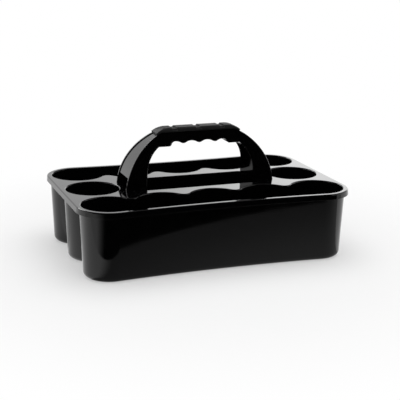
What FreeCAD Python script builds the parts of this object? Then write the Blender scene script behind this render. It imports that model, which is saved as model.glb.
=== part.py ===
import FreeCAD, Part

import math
import os

import Sketcher
from FreeCAD import Placement, Rotation, Vector

# A bottle carrier basket: one moulded basket with twelve bottle places, a handle snapped into its
# deck and a soft cover on the grip. Lengths are in millimetres and angles in degrees. X runs along
# the basket, the front wall faces -Y, Z is up, and the origin is on the table under the middle.

SIZES = [
    ("deck_height", 101.5, "top of the deck above the table"),
    ("deck_thickness", 2.6, "deck between its top and underside"),
    ("cell_pitch", 78.6, "centre to centre of the bottle places in a row"),
    ("row_pitch", 87.0, "middle row to the back or front row"),
    ("mouth_radius", 40.0, "bottle place at the deck's top, over its rounded lip"),
    ("lip_radius", 1.5, "rounding where the deck turns down into a tub"),
    ("wall_thickness", 2.4, "tub walls"),
    ("wall_draw_in", 4.3, "how far a tub wall leans in from the deck to the table"),
    ("floor_thickness", 2.8, "tub floors"),
    ("base_rounding", 8.0, "outer edge between a tub's wall and its floor"),
    ("floor_bevel", 3.2, "inner edge between a tub's wall and its floor"),
    ("ridge_radius", 9.0, "rounded end of the deck between two places of a trough"),
    ("side_bow", 6.5, "how far the middle of each long side is drawn in"),
    ("rim_margin", 5.7, "deck outside the mouths, to the edge of the rim"),
    ("rim_rounding", 1.8, "edge where the deck rolls into its flange"),
    ("flange_height", 8.0, "down-turned flange, from the deck's top"),
    ("flange_thickness", 2.2, "wall of the flange"),
    ("flange_flare", 0.6, "how far the flange's lower edge stands out"),
    ("slot_length", 180.0, "mouth of the long slot between the end places of the middle row"),
    ("slot_width", 71.2, "mouth of the long slot across the basket"),
    ("slot_corner", 9.0, "corner radius of the slot's mouth"),
    ("foot_margin", 2.8, "deck between a foot and the round place beside it"),
    ("leg_lean", 9.5, "lean of a leg's outer edge at the foot"),
    ("leg_straight", 5.2, "height of the straight part of that edge"),
    ("arch_radius", 96.8, "outer curve of the arch"),
    ("inner_arch_radius", 47.0, "inner curve of the arch"),
    ("inner_arch_drop", 38.0, "centre of that curve below the bar's underside"),
    ("seat_drop", 8.1, "arch cut off at its crown for the grip cover's flat seat"),
    ("bar_thickness", 20.1, "bar between that seat and its underside beside the finger grooves"),
    ("foot_half_width", 25.9, "middle of the handle to its side at the foot"),
    ("foot_upright", 10.3, "height of the upright part of the handle's sides"),
    ("grip_half_width", 11.7, "middle of the handle to its side at the grip"),
    ("side_thickness", 3.0, "side plates of a leg, also the rims beside its web"),
    ("web_recess", 1.2, "how deep the web lies between the rims"),
    ("web_thickness", 2.6, "outer web and inner wall of a leg"),
    ("doorway_height", 15.5, "open end of a leg below its web"),
    ("leg_hollow_height", 52.0, "hollow inside a leg, from the deck"),
    ("finger_pitch", 24.6, "centre to centre of the finger grooves"),
    ("finger_depth", 3.2, "finger grooves over the swells between them"),
    ("finger_rise", 6.5, "top of a finger groove over the bar's underside"),
    ("swell_radius", 7.0, "swell between two finger grooves"),
    ("end_groove_radius", 7.0, "outer side of the first and last finger groove"),
    ("end_swell_radius", 4.0, "edge between the finger grooves and the bar's underside"),
    ("edge_rounding", 1.0, "outer edges of the handle"),
    ("inner_edge_rounding", 2.5, "edges around the hand gap"),
    ("tongue_width", 20.0, "snap tongue under each leg"),
    ("tongue_length", 17.0, "snap tongue below the deck"),
    ("tongue_thickness", 2.6, "snap tongue"),
    ("nose_height", 6.0, "nose at the tongue's end"),
    ("tongue_gap", 5.4, "tongue to the end of the slot's mouth"),
    ("nose_catch", 0.8, "how far the nose reaches behind the slot's wall"),
    ("snap_clearance", 0.4, "gap around the nose in its window"),
    ("cover_height", 5.8, "top of the grip cover over its seat"),
    ("cover_overhang", 1.0, "how far the cover's sides stand out over the grip"),
    ("cover_wrap", 7.2, "how far the cover reaches down the arch past its seat, along the bar"),
    ("cover_slope", 18.0, "length of the cover's sloped ends along the bar"),
    ("cover_end_thickness", 2.4, "step at the cover's ends"),
    ("cover_rounding", 5.3, "long upper edges of the cover"),
    ("cover_end_rounding", 1.2, "the same edges where they run out at the cover's ends"),
    ("groove_pitch", 36.6, "centre to centre of the cover's cross grooves"),
    ("groove_width", 7.3, "cross groove along the bar"),
    ("groove_depth", 1.6, "cross groove below the cover's surface"),
    ("groove_margin", 2.4, "cover left whole below a groove's end"),
    ("cutter_excess", 2.0, "how far a cutting block reaches past what it cuts"),
]

# Places from the middle of a row to its end
END_CELL = 2

# Sizes that follow from the ones above, so that handle, basket and cover keep fitting
TIED_SIZES = [
    (
        "foot_outer",
        f"{END_CELL} * cell_pitch - mouth_radius - foot_margin",
        "middle of the basket to the outer edge of a foot",
    ),
    (
        "leg_inner",
        "slot_length / 2 - tongue_gap - tongue_thickness",
        "middle of the basket to the inner face of a leg",
    ),
    (
        "nose_reach",
        "tongue_gap - lip_radius + nose_catch",
        "how far the nose stands out from the tongue",
    ),
    (
        "cover_seat",
        "leg_straight + arch_radius * (1 - sin(leg_lean)) - seat_drop",
        "deck to the flat that the grip cover sits on",
    ),
    (
        "bar_clearance",
        "cover_seat - bar_thickness",
        "deck to the underside of the bar beside the finger grooves",
    ),
    (
        "leg_inner_rise",
        "bar_clearance - inner_arch_drop",
        "height of the straight part of a leg's inner face",
    ),
    (
        "arch_offset",
        "foot_outer - leg_straight * tan(leg_lean) - arch_radius * cos(leg_lean)",
        "middle of the basket to the centre of the arch's outer curve",
    ),
    (
        "cover_reach",
        "arch_offset + sqrt(arch_radius ^ 2 - (arch_radius - seat_drop) ^ 2) + cover_wrap",
        "middle of the handle to the cover's ends on the arch",
    ),
    (
        "cover_flat",
        "cover_reach - cover_slope",
        "middle of the handle to where the cover slopes down",
    ),
    (
        "cover_half_width",
        "grip_half_width + cover_overhang",
        "middle of the grip cover to its side",
    ),
]

# Lengths that differ by less than this count as equal
NEAR = 0.01

SIDES = (("back", 1), ("front", -1))
ENDS = (("right", 1), ("left", -1))

# Expressions that more than one feature uses
DECK_UNDERSIDE = "Sizes.deck_height - Sizes.deck_thickness"
FLANGE_FOOT = "Sizes.deck_height - Sizes.flange_height"
INNER_TOP = "-Sizes.lip_radius"
INNER_FLOOR = "-Sizes.lip_radius - Sizes.wall_draw_in * (1 - Sizes.floor_thickness / Sizes.deck_height)"
OUTER_TOP = "Sizes.wall_thickness - Sizes.lip_radius"
OUTER_FLOOR = "Sizes.wall_thickness - Sizes.lip_radius - Sizes.wall_draw_in"
RIM_TOP = "Sizes.rim_margin"
RIM_FOOT = "Sizes.rim_margin + Sizes.flange_flare"
RIM_INSIDE = "Sizes.rim_margin + Sizes.flange_flare - Sizes.flange_thickness"
BOW_DISTANCE = "(4 * Sizes.cell_pitch ^ 2 - Sizes.side_bow ^ 2) / (2 * Sizes.side_bow)"
SEAT = "Sizes.deck_height + Sizes.cover_seat"
BAR = "Sizes.deck_height + Sizes.bar_clearance"
FINGER_TOP = f"{BAR} + Sizes.finger_rise"
FINGER_SPAN = "((Sizes.finger_pitch / 2) ^ 2 + Sizes.finger_depth ^ 2) / (2 * Sizes.finger_depth)"
ARCH_X = "Sizes.arch_offset"
ARCH_Z = "Sizes.deck_height + Sizes.leg_straight - Sizes.arch_radius * sin(Sizes.leg_lean)"
INNER_ARCH_X = "Sizes.leg_inner - Sizes.inner_arch_radius"
INNER_ARCH_Z = "Sizes.deck_height + Sizes.leg_inner_rise"
NARROWING = "(Sizes.foot_half_width - Sizes.grip_half_width)"
SIDE_RADIUS = f"((Sizes.cover_seat - Sizes.foot_upright) ^ 2 + {NARROWING} ^ 2) / (2 * {NARROWING})"
HANDLE_LENGTH = "2 * (Sizes.foot_outer + Sizes.cutter_excess)"
ROOM_LENGTH = f"{HANDLE_LENGTH} + 2 * Sizes.cutter_excess"
HANDLE_WIDTH = "2 * (Sizes.foot_half_width + Sizes.cutter_excess)"

STRAIGHT_ON = Rotation()
UPRIGHT_ALONG_X = Rotation(Vector(1, 0, 0), 90)
UPRIGHT_ALONG_Y = Rotation(Vector(1, 1, 1), 120)


class Sizes:
    """Plain numbers read back from the sheet, and sums of them given as expressions."""

    def __init__(self, doc):
        self.doc = doc
        self.sheet = doc.addObject("Spreadsheet::Sheet", "Sizes")
        tied = [(name, f"={formula}", note) for name, formula, note in TIED_SIZES]
        for row, (name, value, note) in enumerate(SIZES + tied, start=1):
            self.sheet.set(f"A{row}", name)
            self.sheet.set(f"B{row}", str(value))
            self.sheet.set(f"C{row}", note)
            self.sheet.setAlias(f"B{row}", name)
        doc.recompute()

    def __getattr__(self, name):
        return float(getattr(self.sheet, name))

    def value(self, expression):
        """Value of an expression of the sheet's cells."""
        return float(self.sheet.evalExpression(expression))


class Arc:
    """An arc of an outline, with the expressions that its centre and radius are bound to."""

    def __init__(self, centre, radius, start, end, backwards=False, at=(None, None), size=None):
        self.centre = centre
        self.radius = radius
        self.angles = (start, end)
        self.backwards = backwards
        self.at = at
        self.size = size

    def geometry(self):
        circle = Part.Circle(Vector(*self.centre, 0), Vector(0, 0, 1), self.radius)
        return Part.ArcOfCircle(circle, math.radians(self.angles[0]), math.radians(self.angles[1]))

    def mirrored(self, across_x):
        """The same arc on the other side of the X axis, or else of the Y axis."""
        x, y = self.centre
        start, end = self.angles
        if across_x:
            centre, angles = (x, -y), (-end, -start)
        else:
            centre, angles = (-x, y), (180 - end, 180 - start)
        return Arc(centre, self.radius, *angles, not self.backwards, self.at, self.size)

    def reversed(self):
        """The same arc, drawn from its other end."""
        return Arc(self.centre, self.radius, *self.angles, not self.backwards, self.at, self.size)

    def anchor(self):
        return self.centre

    def anchor_point(self):
        return 3

    def first_end(self):
        return 2 if self.backwards else 1

    def last_end(self):
        return 1 if self.backwards else 2


class Line:
    """A straight piece of an outline, with the expressions that its first point is bound to."""

    def __init__(self, start, end, at=(None, None), lie=None):
        self.start = start
        self.end = end
        self.at = at
        self.lie = lie

    def mirrored(self, across_x):
        """The same line on the other side of the X axis, or else of the Y axis."""
        turn_x, turn_y = (1, -1) if across_x else (-1, 1)
        start = (turn_x * self.start[0], turn_y * self.start[1])
        end = (turn_x * self.end[0], turn_y * self.end[1])
        return Line(start, end, self.at, self.lie)

    def geometry(self):
        return Part.LineSegment(Vector(*self.start, 0), Vector(*self.end, 0))

    def anchor(self):
        return self.start

    def anchor_point(self):
        return 1

    def first_end(self):
        return 1

    def last_end(self):
        return 2


def bind(sketch, name, expression, kind, *where):
    """Adds one dimension to a sketch and ties it to the sheet."""
    index = sketch.addConstraint(Sketcher.Constraint(kind, *where))
    sketch.renameConstraint(index, name)
    sketch.setExpression(f"Constraints.{name}", expression)


def bind_place(sketch, index, point, axis, value, expression, name):
    """Ties one coordinate of a point to the sheet, on whichever side of the origin it lies."""
    if abs(value) < NEAR:
        line = -2 if axis == "X" else -1
        sketch.addConstraint(Sketcher.Constraint("PointOnObject", index, point, line))
    elif value > 0:
        bind(sketch, name, expression, f"Distance{axis}", -1, 1, index, point, value)
    else:
        bind(sketch, name, expression, f"Distance{axis}", index, point, -1, 1, -value)


def draw_outline(sketch, pieces, corners=()):
    """Draws arcs and lines end to end. Each joint is tangent but for those after the named pieces."""
    for piece in pieces:
        sketch.addGeometry(piece.geometry(), False)
    for index, piece in enumerate(pieces):
        after = (index + 1) % len(pieces)
        kind = "Coincident" if index in corners else "Tangent"
        joint = (index, piece.last_end(), after, pieces[after].first_end())
        sketch.addConstraint(Sketcher.Constraint(kind, *joint))
    for index, piece in enumerate(pieces):
        for axis, value, expression in zip("XY", piece.anchor(), piece.at):
            if expression:
                name = f"place_{axis.lower()}_{index}"
                bind_place(sketch, index, piece.anchor_point(), axis, value, expression, name)
        if isinstance(piece, Line):
            if piece.lie:
                sketch.addConstraint(Sketcher.Constraint(piece.lie, index))
        elif piece.size:
            bind(sketch, f"radius_{index}", piece.size, "Radius", index, piece.radius)


def plane_sketch(body, name, height):
    """A level sketch of a body, at a height given by an expression."""
    plane = next(item for item in body.Origin.OriginFeatures if item.Role == "XY_Plane")
    sketch = body.newObject("Sketcher::SketchObject", name)
    sketch.AttachmentSupport = [(plane, "")]
    sketch.MapMode = "FlatFace"
    sketch.setExpression("AttachmentOffset.Base.z", height)
    return sketch


def trough_outline(sizes, growth, side):
    """Outline of a trough of bottle places: straight outside, scalloped towards the middle row."""
    grow = sizes.value(growth)
    pitch, row = sizes.cell_pitch, sizes.row_pitch
    cell_radius = sizes.mouth_radius + grow
    ridge_radius = sizes.ridge_radius - grow
    reach = math.sqrt((cell_radius + ridge_radius) ** 2 - (pitch / 2) ** 2)
    half = math.degrees(math.atan2(pitch / 2, reach))
    bow_distance = sizes.value(BOW_DISTANCE)
    bow_angle = math.degrees(math.atan2(END_CELL * pitch, bow_distance))
    bow_radius = bow_distance + sizes.side_bow - cell_radius
    cell_size = f"Sizes.mouth_radius + ({growth})"
    ridge_size = f"Sizes.ridge_radius - ({growth})"
    bow_size = f"{BOW_DISTANCE} + Sizes.side_bow - ({cell_size})"

    def cell(place, start, end):
        at = (f"Sizes.cell_pitch * {abs(place)}", "Sizes.row_pitch")
        if place == 0:
            at = ("0", "Sizes.row_pitch")
        return Arc((place * pitch, row), cell_radius, start, end, False, at, cell_size)

    pieces = [
        cell(END_CELL, 270 - half, 450 + bow_angle),
        Arc((0, row + bow_distance), bow_radius, 270 - bow_angle, 270 + bow_angle, True, size=bow_size),
        cell(-END_CELL, 90 - bow_angle, 270 + half),
    ]
    for place in range(1 - END_CELL, END_CELL + 1):
        ridge = ((place - 0.5) * pitch, row - reach)
        pieces.append(Arc(ridge, ridge_radius, 90 - half, 90 + half, True, size=ridge_size))
        if place < END_CELL:
            pieces.append(cell(place, 270 - half, 270 + half))
    if side < 0:
        pieces = [piece.mirrored(across_x=True) for piece in pieces]
    return pieces


def rim_outline(sizes, growth):
    """Outline of the whole deck: rounded corners, straight ends and drawn-in long sides."""
    radius = sizes.mouth_radius + sizes.value(growth)
    corner_x, corner_y = END_CELL * sizes.cell_pitch, sizes.row_pitch
    bow_distance = sizes.value(BOW_DISTANCE)
    bow_angle = math.degrees(math.atan2(corner_x, bow_distance))
    bow_radius = bow_distance + sizes.side_bow - radius
    size = f"Sizes.mouth_radius + {growth}"
    bow_size = f"{BOW_DISTANCE} + Sizes.side_bow - ({size})"
    at = (f"Sizes.cell_pitch * {END_CELL}", "Sizes.row_pitch")
    bow_y = corner_y + bow_distance
    back_right = Arc((corner_x, corner_y), radius, 0, 90 + bow_angle, False, at, size)
    back_bow = Arc((0, bow_y), bow_radius, 270 - bow_angle, 270 + bow_angle, True, size=bow_size)
    back_left = Arc((-corner_x, corner_y), radius, 90 - bow_angle, 180, False, at, size)
    front_left, front_bow, front_right = (
        piece.mirrored(across_x=True).reversed() for piece in (back_left, back_bow, back_right)
    )
    left_x, right_x = -corner_x - radius, corner_x + radius
    left_end = Line((left_x, corner_y), (left_x, -corner_y))
    right_end = Line((right_x, -corner_y), (right_x, corner_y))
    return [back_right, back_bow, back_left, left_end, front_left, front_bow, front_right, right_end]


def slot_outline(sizes, growth):
    """Outline of the long slot: a rectangle with rounded corners."""
    radius = sizes.slot_corner + sizes.value(growth)
    x = sizes.slot_length / 2 - sizes.slot_corner
    y = sizes.slot_width / 2 - sizes.slot_corner
    at = ("Sizes.slot_length / 2 - Sizes.slot_corner", "Sizes.slot_width / 2 - Sizes.slot_corner")
    size = f"Sizes.slot_corner + ({growth})"
    pieces = []
    for turn, (side_x, side_y) in enumerate(((1, 1), (-1, 1), (-1, -1), (1, -1))):
        start = 90 * turn
        pieces.append(Arc((side_x * x, side_y * y), radius, start, start + 90, False, at, size))
        leave = math.radians(start + 90)
        step = Vector(math.cos(leave), math.sin(leave), 0) * radius
        next_x, next_y = ((-x, y), (-x, -y), (x, -y), (x, y))[turn]
        first = (side_x * x + step.x, side_y * y + step.y)
        pieces.append(Line(first, (next_x + step.x, next_y + step.y)))
    return pieces


def loft_between(doc, body, kind, name, low, high):
    """Adds or takes away the straight-sided form between two level outlines."""
    sketches = []
    for level, (height, outline) in (("low", low), ("high", high)):
        sketch = plane_sketch(body, f"{name}_{level}", height)
        draw_outline(sketch, outline)
        sketches.append(sketch)
    loft = body.newObject(f"PartDesign::{kind}Loft", name)
    loft.Profile = sketches[0]
    loft.Sections = [sketches[1]]
    loft.Ruled = True
    doc.recompute()
    return loft


def cone_between(doc, body, kind, name, side, low, high):
    """Adds or takes away the round tub of one end place of the middle row."""
    cone = body.newObject(f"PartDesign::{kind}Cone", name)
    cone.setExpression("Radius1", f"Sizes.mouth_radius + ({low[1]})")
    cone.setExpression("Radius2", f"Sizes.mouth_radius + ({high[1]})")
    cone.setExpression("Height", f"({high[0]}) - ({low[0]})")
    plane = next(item for item in body.Origin.OriginFeatures if item.Role == "XY_Plane")
    cone.AttachmentSupport = [(plane, "")]
    cone.MapMode = "FlatFace"
    cone.setExpression("AttachmentOffset.Base.x", f"{side * END_CELL} * Sizes.cell_pitch")
    cone.setExpression("AttachmentOffset.Base.z", low[0])
    doc.recompute()


def add_deck(doc, body, sizes):
    """The deck with its flange, hollow below."""
    low = (FLANGE_FOOT, rim_outline(sizes, RIM_FOOT))
    high = ("Sizes.deck_height", rim_outline(sizes, RIM_TOP))
    loft_between(doc, body, "Additive", "deck_block", low, high)
    inside = plane_sketch(body, "deck_inside_outline", FLANGE_FOOT)
    draw_outline(inside, rim_outline(sizes, RIM_INSIDE))
    hollow = body.newObject("PartDesign::Pocket", "deck_inside")
    hollow.Profile = inside
    hollow.Reversed = True
    hollow.setExpression("Length", "Sizes.flange_height - Sizes.deck_thickness")
    doc.recompute()


def add_tubs(doc, body, sizes, kind, low, high):
    """All five tubs, as solids below the deck or as the hollows inside them."""
    word = "tub" if kind == "Additive" else "hollow"
    for name, side in SIDES:
        lower = (low[0], trough_outline(sizes, low[1], side))
        upper = (high[0], trough_outline(sizes, high[1], side))
        loft_between(doc, body, kind, f"{name}_{word}", lower, upper)
    for name, side in ENDS:
        cone_between(doc, body, kind, f"{name}_{word}", side, low, high)
    lower = (low[0], slot_outline(sizes, low[1]))
    upper = (high[0], slot_outline(sizes, high[1]))
    loft_between(doc, body, kind, f"slot_{word}", lower, upper)


def edges_at(shape, height, keep=None):
    """Names of the edges that lie level at a height."""
    names = []
    for index, edge in enumerate(shape.Edges, start=1):
        box = edge.BoundBox
        level = abs(box.ZMin - height) < NEAR and abs(box.ZMax - height) < NEAR
        if level and (keep is None or keep(edge)):
            names.append(f"Edge{index}")
    return names


def add_fillet(doc, body, name, edges, radius):
    """Rounds the named edges of the body's last feature."""
    base = body.Tip
    fillet = body.newObject("PartDesign::Fillet", name)
    fillet.Base = (base, edges)
    fillet.setExpression("Radius", radius)
    doc.recompute()


def add_chamfer(doc, body, name, edges, size):
    """Bevels the named edges of the body's last feature."""
    base = body.Tip
    chamfer = body.newObject("PartDesign::Chamfer", name)
    chamfer.Base = (base, edges)
    chamfer.setExpression("Size", size)
    doc.recompute()


def round_basket(doc, body, sizes):
    """Rounded tub bottoms, mouths and rim."""
    add_fillet(doc, body, "tub_rounding", edges_at(body.Tip.Shape, 0), "Sizes.base_rounding")
    floor_edges = edges_at(body.Tip.Shape, sizes.floor_thickness)
    add_chamfer(doc, body, "floor_bevel", floor_edges, "Sizes.floor_bevel")
    top = body.Tip.Shape
    mouths = edges_at(top, sizes.deck_height, lambda edge: not reaches_rim(edge, sizes))
    add_fillet(doc, body, "mouth_rounding", mouths, "Sizes.lip_radius")
    rounded = body.Tip.Shape
    outline = edges_at(rounded, sizes.deck_height, lambda edge: reaches_rim(edge, sizes))
    add_fillet(doc, body, "rim_rounding", outline, "Sizes.rim_rounding")


def reaches_rim(edge, sizes):
    """Whether an edge of the deck's top belongs to its outline and not to a mouth."""
    middle = edge.valueAt((edge.FirstParameter + edge.LastParameter) / 2)
    reach = sizes.mouth_radius + sizes.rim_margin / 2
    corner = Vector(END_CELL * sizes.cell_pitch, sizes.row_pitch, middle.z)
    offset = Vector(abs(middle.x), abs(middle.y), middle.z) - corner
    if offset.x > 0 and offset.y > 0:
        return offset.Length > reach
    return offset.x > reach or offset.y > reach - sizes.side_bow


def add_windows(doc, body, sizes):
    """A window at each end of the slot, where the nose of a snap tongue catches."""
    for name, side in ENDS:
        window = body.newObject("PartDesign::SubtractiveBox", f"{name}_window")
        window.setExpression("Length", "Sizes.nose_reach + Sizes.wall_thickness")
        window.setExpression("Width", "Sizes.tongue_width + 2 * Sizes.snap_clearance")
        window.setExpression("Height", "Sizes.nose_height + 2 * Sizes.snap_clearance")
        plane = next(item for item in body.Origin.OriginFeatures if item.Role == "XY_Plane")
        window.AttachmentSupport = [(plane, "")]
        window.MapMode = "FlatFace"
        inner = "Sizes.leg_inner + Sizes.tongue_thickness"
        outer = f"{inner} + Sizes.nose_reach + Sizes.wall_thickness"
        start = inner if side > 0 else f"-({outer})"
        window.setExpression("AttachmentOffset.Base.x", start)
        window.setExpression("AttachmentOffset.Base.y", "-Width / 2")
        foot = "Sizes.deck_height - Sizes.tongue_length - Sizes.snap_clearance"
        window.setExpression("AttachmentOffset.Base.z", foot)
        doc.recompute()


def make_basket(doc, sizes):
    """The basket: deck, flange and tubs as one moulding."""
    body = doc.addObject("PartDesign::Body", "basket")
    body.Label = "basket"
    body.Placement = Placement(Vector(0, 0, 0), STRAIGHT_ON)
    add_deck(doc, body, sizes)
    add_tubs(doc, body, sizes, "Additive", ("0", OUTER_FLOOR), (DECK_UNDERSIDE, OUTER_TOP))
    hollow_floor = ("Sizes.floor_thickness", INNER_FLOOR)
    add_tubs(doc, body, sizes, "Subtractive", hollow_floor, ("Sizes.deck_height", INNER_TOP))
    round_basket(doc, body, sizes)
    add_windows(doc, body, sizes)
    return body


class HandleForm:
    """Points and curves of the handle's arch, in the upright plane along X."""

    def __init__(self, sizes):
        self.lean = sizes.leg_lean
        self.radius = sizes.arch_radius
        self.centre = (sizes.value(ARCH_X), sizes.value(ARCH_Z))
        self.inner_centre = (sizes.value(INNER_ARCH_X), sizes.value(INNER_ARCH_Z))
        self.seat = sizes.value(SEAT)
        self.bar = sizes.value(BAR)
        self.seat_angle = self.angle_at(self.seat, self.radius)
        self.side_radius = sizes.value(SIDE_RADIUS)

    def angle_at(self, height, radius):
        """Angle on an arc about the arch's centre where it passes a height."""
        return math.degrees(math.asin((height - self.centre[1]) / radius))

    def on_arch(self, angle, radius):
        """Point at an angle and a distance from the right arch centre."""
        turn = math.radians(angle)
        return (self.centre[0] + radius * math.cos(turn), self.centre[1] + radius * math.sin(turn))

    def half_width(self, sizes, height):
        """Middle of the handle to its side at a height."""
        climb = max(0, height - sizes.deck_height - sizes.foot_upright)
        return sizes.foot_half_width - self.side_radius + math.sqrt(self.side_radius ** 2 - climb ** 2)


def upright_sketch(doc, name, rotation, outline):
    """A sketch in an upright plane, from its pieces and those after which it turns a corner."""
    pieces, corners = outline
    sketch = doc.addObject("Sketcher::SketchObject", name)
    sketch.Placement = Placement(Vector(0, 0, 0), rotation)
    draw_outline(sketch, pieces, corners)
    return sketch


def extrude(doc, sketch, name, direction, length):
    """Solid from a sketch, to both sides of its plane."""
    solid = doc.addObject("Part::Extrusion", name)
    solid.Base = sketch
    solid.DirMode = "Custom"
    solid.Dir = direction
    solid.Solid = True
    solid.Symmetric = True
    solid.setExpression("LengthFwd", length)
    return solid


def combine(doc, kind, name, base, tool):
    """Boolean of two objects."""
    result = doc.addObject(f"Part::{kind}", name)
    result.Base = base
    result.Tool = tool
    return result


def round_edges(doc, name, base, edges):
    """Rounds edges of a solid. Each is given by its number and the radius at its two ends."""
    fillet = doc.addObject("Part::Fillet", name)
    fillet.Base = base
    fillet.Edges = edges
    doc.recompute()
    return fillet


def mirror_outline(outline):
    """The same outline on the other side of the basket's middle."""
    pieces, corners = outline
    return [piece.mirrored(across_x=False) for piece in pieces], corners


def finger_outline(sizes, form):
    """Underside of the bar from left to right: finger grooves with swells between them."""
    top = sizes.value(FINGER_TOP)
    step = sizes.finger_pitch / 2
    span = sizes.value(FINGER_SPAN)
    groove_radius = span - sizes.swell_radius
    turn = math.degrees(math.asin(step / span))
    groove_size = f"{FINGER_SPAN} - Sizes.swell_radius"
    end_radius, swell_radius = sizes.end_groove_radius, sizes.end_swell_radius
    drop = form.bar + swell_radius - (top - end_radius)
    across = math.sqrt((end_radius + swell_radius) ** 2 - drop ** 2)
    tilt = math.degrees(math.atan2(drop, across))

    def groove(steps, start, end):
        at = (f"{abs(steps)} * Sizes.finger_pitch / 2", f"{FINGER_TOP} - ({groove_size})")
        return Arc((steps * step, top - groove_radius), groove_radius, start, end, True, at, groove_size)

    def swell(steps):
        centre = (steps * step, top - sizes.finger_depth + sizes.swell_radius)
        return Arc(centre, sizes.swell_radius, 270 - turn, 270 + turn, size="Sizes.swell_radius")

    end_at = ("3 * Sizes.finger_pitch / 2", None)
    end_size = "Sizes.end_groove_radius"
    end_groove = Arc((3 * step, top - end_radius), end_radius, tilt, 90, True, end_at, end_size)
    end_centre = (3 * step + across, form.bar + swell_radius)
    end_swell = Arc(end_centre, swell_radius, 180 + tilt, 270, size="Sizes.end_swell_radius")
    return [
        end_swell.mirrored(False).reversed(),
        end_groove.mirrored(False).reversed(),
        groove(-3, 90 - turn, 90),
        swell(-2),
        groove(-1, 90 - turn, 90 + turn),
        swell(0),
        groove(1, 90 - turn, 90 + turn),
        swell(2),
        groove(3, 90, 90 + turn),
        end_groove,
        end_swell,
    ]


def arch_outline(sizes, form):
    """Outline of the handle along X."""
    deck, foot, inner = sizes.deck_height, sizes.foot_outer, sizes.leg_inner
    inner_x, inner_z = form.inner_centre
    rise = math.degrees(math.asin((form.bar - inner_z) / sizes.inner_arch_radius))
    corner_x = inner_x + sizes.inner_arch_radius * math.cos(math.radians(rise))
    fingers = finger_outline(sizes, form)
    edge_x = fingers[-1].centre[0]
    shoulder_x, shoulder_z = form.on_arch(form.lean, form.radius)
    seat_x = form.on_arch(form.seat_angle, form.radius)[0]
    outer_arc = Arc(
        form.centre, form.radius, form.lean, form.seat_angle, False, (ARCH_X, ARCH_Z), "Sizes.arch_radius"
    )
    inner_arc = Arc(
        form.inner_centre,
        sizes.inner_arch_radius,
        0,
        rise,
        True,
        (INNER_ARCH_X, INNER_ARCH_Z),
        "Sizes.inner_arch_radius",
    )
    at_foot = ("Sizes.foot_outer", "Sizes.deck_height")
    at_inner = ("Sizes.leg_inner", "Sizes.deck_height")
    pieces = [
        Line((inner, deck), (foot, deck), at_inner),
        Line((foot, deck), (shoulder_x, shoulder_z), at_foot),
        outer_arc,
        Line((seat_x, form.seat), (-seat_x, form.seat), (None, SEAT), "Horizontal"),
        outer_arc.mirrored(False).reversed(),
        Line((-shoulder_x, shoulder_z), (-foot, deck)),
        Line((-foot, deck), (-inner, deck), at_foot),
        Line((-inner, deck), (-inner, inner_z), at_inner),
        inner_arc.mirrored(False).reversed(),
        Line((-corner_x, form.bar), (-edge_x, form.bar), (None, BAR), "Horizontal"),
        *fingers,
        Line((edge_x, form.bar), (corner_x, form.bar), (None, BAR), "Horizontal"),
        inner_arc,
        Line((inner, inner_z), (inner, deck)),
    ]
    last = len(pieces) - 1
    return pieces, (0, 2, 3, 5, 6, 8, last - 2, last)


def sides_outline(sizes, form, inset, base, top):
    """Outline of the handle across X: upright at the foot, then narrowing to the grip."""
    shrink = sizes.value(inset)
    foot_z, top_z = sizes.value(base), sizes.value(top)
    half = sizes.foot_half_width - shrink
    radius = form.side_radius - shrink
    centre_y = sizes.foot_half_width - form.side_radius
    start_z = sizes.deck_height + sizes.foot_upright
    end_angle = math.degrees(math.asin((top_z - start_z) / radius))
    top_y = centre_y + radius * math.cos(math.radians(end_angle))
    at = (f"{SIDE_RADIUS} - Sizes.foot_half_width", "Sizes.deck_height + Sizes.foot_upright")
    at_foot = (f"Sizes.foot_half_width - ({inset})", base)
    near = Arc((centre_y, start_z), radius, 0, end_angle, False, at, f"{SIDE_RADIUS} - ({inset})")
    pieces = [
        Line((-half, foot_z), (half, foot_z), at_foot),
        Line((half, foot_z), (half, start_z), at_foot),
        near,
        Line((top_y, top_z), (-top_y, top_z), (None, top), "Horizontal"),
        near.mirrored(False).reversed(),
        Line((-half, start_z), (-half, foot_z)),
    ]
    return pieces, (0, 2, 3, 5)


def web_outline(sizes, form):
    """Region outside the right leg's web, from the foot to the cover's end."""
    inside = form.radius - sizes.web_recess
    outside_x = sizes.foot_outer + sizes.cutter_excess
    foot_z = sizes.deck_height - sizes.cutter_excess
    reach = sizes.cover_reach
    top_angle = math.degrees(math.acos((reach - form.centre[0]) / inside))
    shoulder_x, shoulder_z = form.on_arch(form.lean, inside)
    foot_x = shoulder_x + (shoulder_z - foot_z) * math.tan(math.radians(form.lean))
    size = "Sizes.arch_radius - Sizes.web_recess"
    at_shoulder = (None, f"{ARCH_Z} + ({size}) * sin(Sizes.leg_lean)")
    at_foot = ("Sizes.foot_outer + Sizes.cutter_excess", "Sizes.deck_height - Sizes.cutter_excess")
    pieces = [
        Line((reach, form.seat), form.on_arch(top_angle, inside), ("Sizes.cover_reach", SEAT), "Vertical"),
        Arc(form.centre, inside, form.lean, top_angle, True, (ARCH_X, ARCH_Z), size),
        Line((shoulder_x, shoulder_z), (foot_x, foot_z), at_shoulder),
        Line((foot_x, foot_z), (outside_x, foot_z), lie="Horizontal"),
        Line((outside_x, foot_z), (outside_x, form.seat), at_foot, "Vertical"),
        Line((outside_x, form.seat), (reach, form.seat), lie="Horizontal"),
    ]
    return pieces, (0, 2, 3, 4, 5)


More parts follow.
